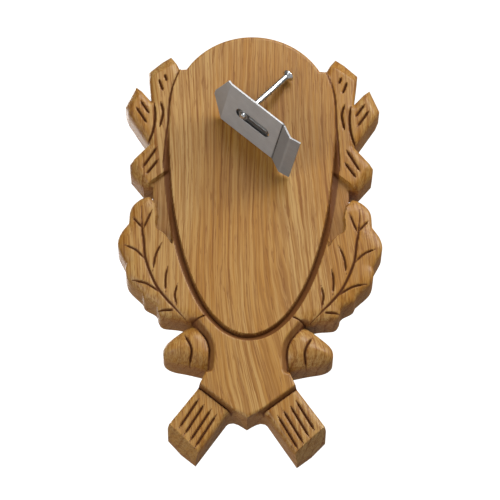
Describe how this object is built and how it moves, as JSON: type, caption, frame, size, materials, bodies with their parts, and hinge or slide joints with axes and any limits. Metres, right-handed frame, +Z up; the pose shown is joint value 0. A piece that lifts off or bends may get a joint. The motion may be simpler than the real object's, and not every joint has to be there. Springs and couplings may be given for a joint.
{
  "type": "antler mounting plaque",
  "caption": "Carved oak wall plaque for small antlers: arched field framed by oak branches, leaves and acorns, with a steel skull clamp and its screw.",
  "frame": {"origin": "on the flat back of the board, on its centre line, half way up its height", "axes": "+Z up along the board as it hangs, +X to the right as seen from the front, -Y out of the carved face, +Y into the wall"},
  "size_m": [0.1646, 0.0612, 0.2802],
  "materials": {
    "oak": "satin lacquer",
    "clamp_steel": "fine brushed",
    "screw_zinc": "bright zinc plated",
    "nut_zinc": "zinc plated"
  },
  "bodies": {
    "root": {"plaque": "oak", "clamp": "clamp_steel", "screw": "screw_zinc", "sliding_nut": "nut_zinc"}
  },
  "joints": []
}
